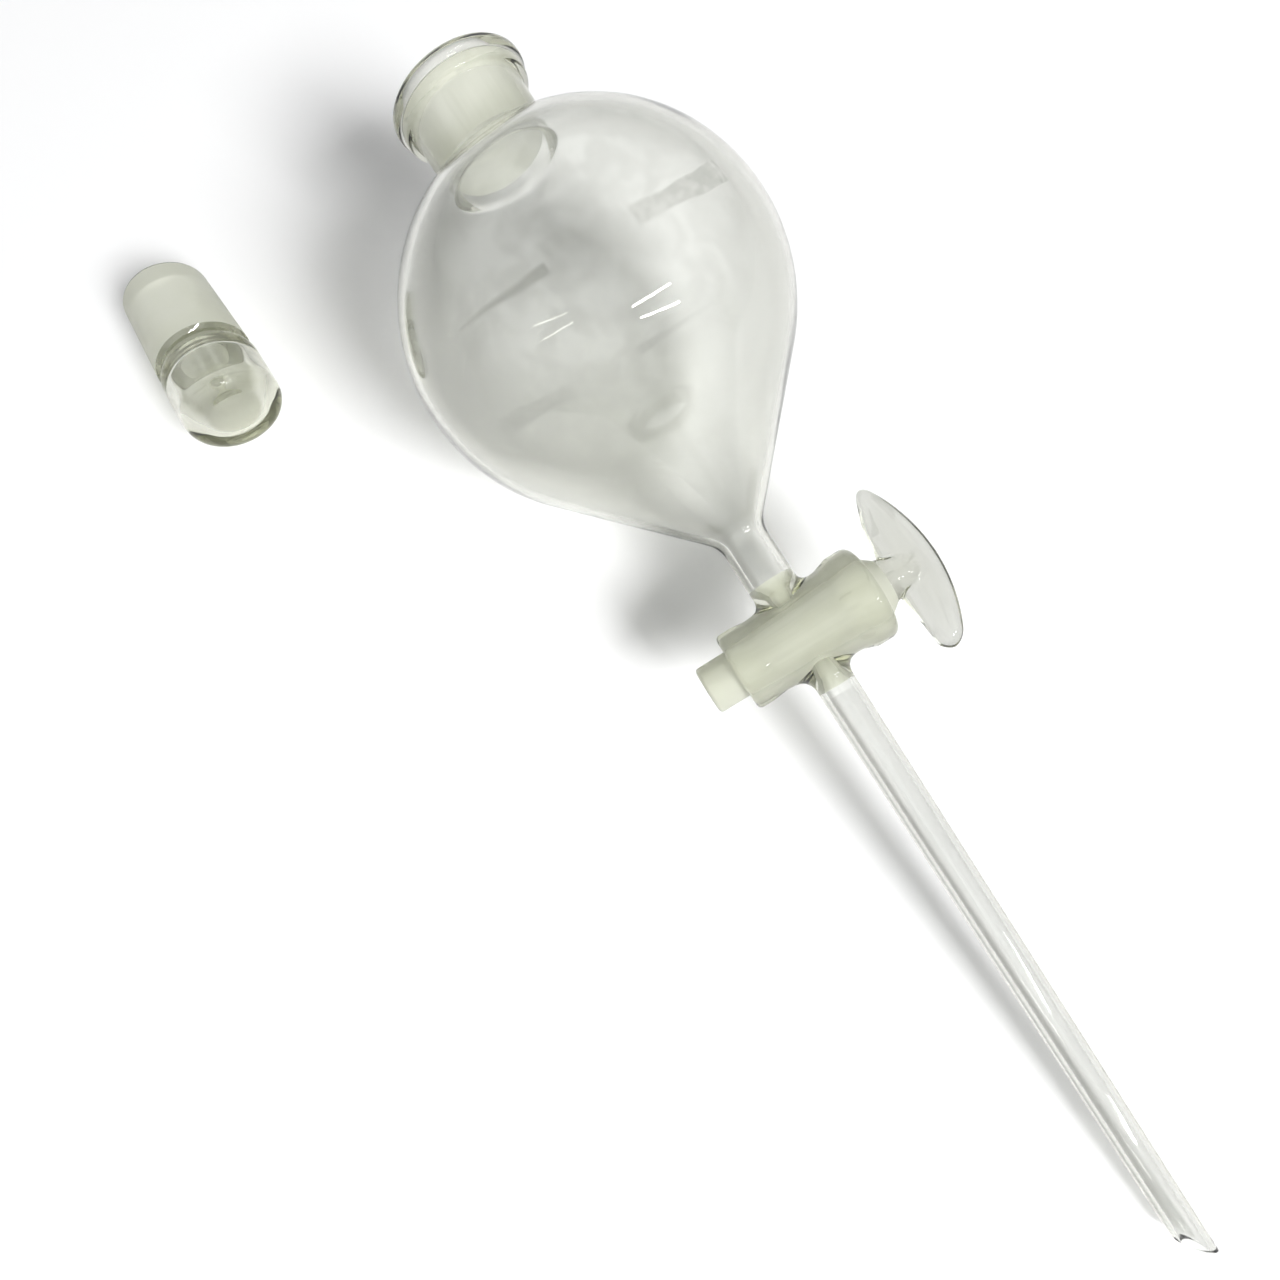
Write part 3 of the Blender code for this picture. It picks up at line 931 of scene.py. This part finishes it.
def make_stopper():
    """Blown hollow: a ground plug, a narrow waist inside, and a clear head."""
    waist_outer = STOPPER_LARGE_R - 0.9
    outside = rounded(
        [
            (0, 0, 0),
            (0, STOPPER_SMALL_R, 1.2),
            (STOPPER_PLUG_LENGTH, STOPPER_LARGE_R, 0.5),
            (STOPPER_SEAM, waist_outer, 0),
        ]
    )
    ground = [point for point in outside if 0.9 < point[0] < STOPPER_PLUG_LENGTH]
    start = outside[: outside.index(ground[0]) + 1]
    after = outside[outside.index(ground[-1]) :]
    inside = rounded(
        [
            (STOPPER_SEAM, STOPPER_WAIST_R, 0),
            (STOPPER_SEAM - 2.8, STOPPER_WAIST_R, 1.5),
            (STOPPER_SEAM - 6.2, STOPPER_LARGE_R - STOPPER_WALL, 3.0),
            (STOPPER_FLOOR, STOPPER_SMALL_R - STOPPER_WALL, 3.0),
            (STOPPER_FLOOR, 0, 0),
        ]
    )
    maker = lathe(
        [
            (divided(start), CLEAR, 0),
            (divided(ground), GROUND, 0),
            (divided(after), CLEAR, 0),
            ([after[-1], inside[0]], SEAM, 0),
            (divided(inside), CLEAR, 0),
        ]
    )
    plug = finish_mesh(maker, "stopper_plug_glass", STOPPER)
    stand_for(plug, PART_GROUND_GLASS, "stopper", "stopper_plug")
    cavity = rounded(
        [
            (STOPPER_LENGTH - STOPPER_END_WALL, 0, 0),
            (STOPPER_LENGTH - STOPPER_END_WALL, STOPPER_HEAD_R - STOPPER_WALL, 4.0),
            (STOPPER_SEAM + 4.3, STOPPER_HEAD_R - STOPPER_WALL, 3.5),
            (STOPPER_SEAM + 0.8, STOPPER_WAIST_R, 1.0),
            (STOPPER_SEAM, STOPPER_WAIST_R, 0),
        ]
    )
    dome = rounded(
        [
            (STOPPER_SEAM, waist_outer, 0),
            (STOPPER_SEAM + 3.3, STOPPER_HEAD_R, 6.0),
            (STOPPER_LENGTH, STOPPER_HEAD_R, 4.2),
            (STOPPER_LENGTH, 0, 0),
        ]
    )
    maker = lathe(
        [
            (divided(cavity), CLEAR, 0),
            ([cavity[-1], dome[0]], SEAM, 0),
            (divided(dome), CLEAR, 0),
        ]
    )
    head = finish_mesh(maker, "stopper_head_glass", STOPPER)
    stand_for(head, HEAD_GLASS, "stopper", "stopper_head")


# ---------------------------------------------------------------- floor, lamps and camera


def make_floor():
    mesh = bpy.data.meshes.new("floor")
    turns = ((-1, -1), (1, -1), (1, 1), (-1, 1))
    mesh.from_pydata([(x * FLOOR_HALF, y * FLOOR_HALF, 0) for x, y in turns], [], [(0, 1, 2, 3)])
    floor = bpy.data.objects.new("floor", mesh)
    floor.location.z = cad_low.z - 0.0002
    bpy.context.scene.collection.objects.link(floor)
    material = bpy.data.materials.new("floor_paper")
    material.use_nodes = True
    shader = material.node_tree.nodes["Principled BSDF"]
    shader.inputs["Base Color"].default_value = (FLOOR_GREY, FLOOR_GREY, FLOOR_GREY, 1)
    shader.inputs["Roughness"].default_value = 0.9
    shader.inputs["Specular IOR Level"].default_value = 0.1
    mesh.materials.append(material)


def lamp(name, place, target, size, power, seen=True):
    """A rectangular lamp facing its target. An unseen one gives light, but the glass doesn't mirror it."""
    light = bpy.data.lights.new(name, "AREA")
    light.shape = "RECTANGLE"
    light.size, light.size_y = size
    light.energy = power
    holder = bpy.data.objects.new(name, light)
    holder.location = place
    holder.rotation_euler = (Vector(target) - Vector(place)).to_track_quat("-Z", "Y").to_euler()
    holder.visible_glossy = seen
    holder.visible_transmission = False
    bpy.context.scene.collection.objects.link(holder)
    return holder


def room_world():
    """The room that the glass mirrors: its horizon, and an uneven ceiling that is dimmer straight above.
    Matt surfaces get an even light from it, and the camera sees a plain backdrop."""
    world = bpy.data.worlds.new("room")
    bpy.context.scene.world = world
    world.use_nodes = True
    tree = world.node_tree
    background = tree.nodes["Background"]
    background.inputs["Color"].default_value = (0.98, 0.99, 1, 1)
    place = node(tree, "ShaderNodeTexCoord").outputs["Generated"]
    split = node(tree, "ShaderNodeSeparateXYZ")
    tree.links.new(place, split.inputs["Vector"])
    up = split.outputs["Z"]
    rise = mapped(tree, up, (0, ROOM_CEILING_FROM), (ROOM_HORIZON, ROOM_CEILING), smooth=True)
    overhead = mapped(tree, up, (0.86, 0.97), (1, ROOM_OVERHEAD), smooth=True)
    patches = noise_between(tree, place, 2.6, 3, (0.38, 0.62), ROOM_PATCHES, distortion=0.8, smooth=True)
    mirrored = multiplied(tree, multiplied(tree, rise, overhead), patches)
    rays = node(tree, "ShaderNodeLightPath").outputs
    strength = blend_values(tree, rays["Is Diffuse Ray"], mirrored, ROOM_EVEN)
    strength = blend_values(tree, rays["Is Camera Ray"], strength, ROOM_BACKDROP)
    tree.links.new(strength, background.inputs["Strength"])


def from_bulb(azimuth, elevation, distance):
    """A place in the room, as seen from the bulb's centre, with angles in degrees."""
    azimuth, elevation = math.radians(azimuth), math.radians(elevation)
    level = math.cos(elevation)
    towards = Vector((level * math.cos(azimuth), level * math.sin(azimuth), math.sin(elevation)))
    return BULB_CENTRE + towards * distance


def tube_lamp(name, start, end):
    """A fluorescent tube that shows as a glint in the glass, between two (azimuth, elevation) directions."""
    start, end = from_bulb(*start, TUBE_LAMP_AWAY), from_bulb(*end, TUBE_LAMP_AWAY)
    length = (end - start).length
    power = TUBE_LAMP_GLOW * math.pi * length * TUBE_LAMP_WIDTH
    light = lamp(name, (start + end) / 2, BULB_CENTRE, (length, TUBE_LAMP_WIDTH), power)
    facing = (BULB_CENTRE - light.location).normalized()
    across = (end - start).cross(facing).normalized()
    light.rotation_euler = Matrix((facing.cross(across), across, -facing)).transposed().to_euler()
    light.visible_transmission = True
    light.visible_diffuse = False


def ceiling_beam(name, path, glow):
    """A dark beam under the room's ceiling, which only the glass sees. The path is (azimuth, elevation, half
    of its width) in degrees, as seen from the bulb. Its glow is how bright its broken patches are."""
    spots = []
    for azimuth, elevation, half_width in path:
        spots.append(from_bulb(azimuth - half_width, elevation, BEAM_AWAY))
        spots.append(from_bulb(azimuth + half_width, elevation, BEAM_AWAY))
    quads = [(2 * step, 2 * step + 1, 2 * step + 3, 2 * step + 2) for step in range(len(path) - 1)]
    mesh = bpy.data.meshes.new(name)
    mesh.from_pydata(spots, [], quads)
    beam = bpy.data.objects.new(name, mesh)
    bpy.context.scene.collection.objects.link(beam)
    beam.visible_camera = beam.visible_diffuse = beam.visible_shadow = False
    material = bpy.data.materials.new(name)
    material.use_nodes = True
    tree = material.node_tree
    tree.nodes.clear()
    place = node(tree, "ShaderNodeTexCoord").outputs["Object"]
    surface = node(tree, "ShaderNodeEmission")
    patches = noise_between(tree, place, scale=14, detail=3, window=(0.42, 0.6), ends=(0.0, glow))
    tree.links.new(patches, surface.inputs["Strength"])
    output = node(tree, "ShaderNodeOutputMaterial")
    tree.links.new(surface.outputs["Emission"], output.inputs["Surface"])
    mesh.materials.append(material)


def make_lights():
    middle = (cad_low + cad_high) / 2
    key_at = middle + Vector(KEY_LAMP_FROM)
    lamp("key_lamp", key_at, middle, KEY_LAMP_SIZE, KEY_LAMP_POWER, seen=False)
    tube_lamp("near_tube", (5, 45), (34, 37))
    tube_lamp("far_tube", (3, 52), (39, 46))
    ceiling_beam("narrow_beam", [(-96, 64, 8), (-98.5, 47, 3.5), (-104.5, 28, 1.5), (-110, 7, 0.5)], 0.1)
    ceiling_beam("broken_beam", [(95, 65, 13), (99, 45.5, 6), (105, 22, 5), (112, 2, 4)], 1.2)
    room_world()


def make_camera():
    camera = bpy.data.cameras.new("camera")
    camera.lens = CAMERA_LENS
    camera.sensor_width = CAMERA_SENSOR
    camera.clip_start = 0.01
    holder = bpy.data.objects.new("camera", camera)
    holder.location = BULB_CENTRE + CAMERA_FROM_BULB
    holder.rotation_euler = CAMERA_TURN
    bpy.context.scene.collection.objects.link(holder)
    bpy.context.scene.camera = holder


make_neck()
make_bulb()
make_tube()
make_barrel()
make_stem()
make_plug()
make_handle()
make_stopper()
make_floor()
make_lights()
make_camera()
bpy.context.scene.view_settings.view_transform = "Standard"
# A ray crosses many walls of glass here, and the seams between pieces are transparent to it
bpy.context.scene.cycles.transparent_max_bounces = 48
bpy.context.scene.cycles.transmission_bounces = 20
bpy.context.scene.cycles.max_bounces = 24

bpy.context.view_layer.update()
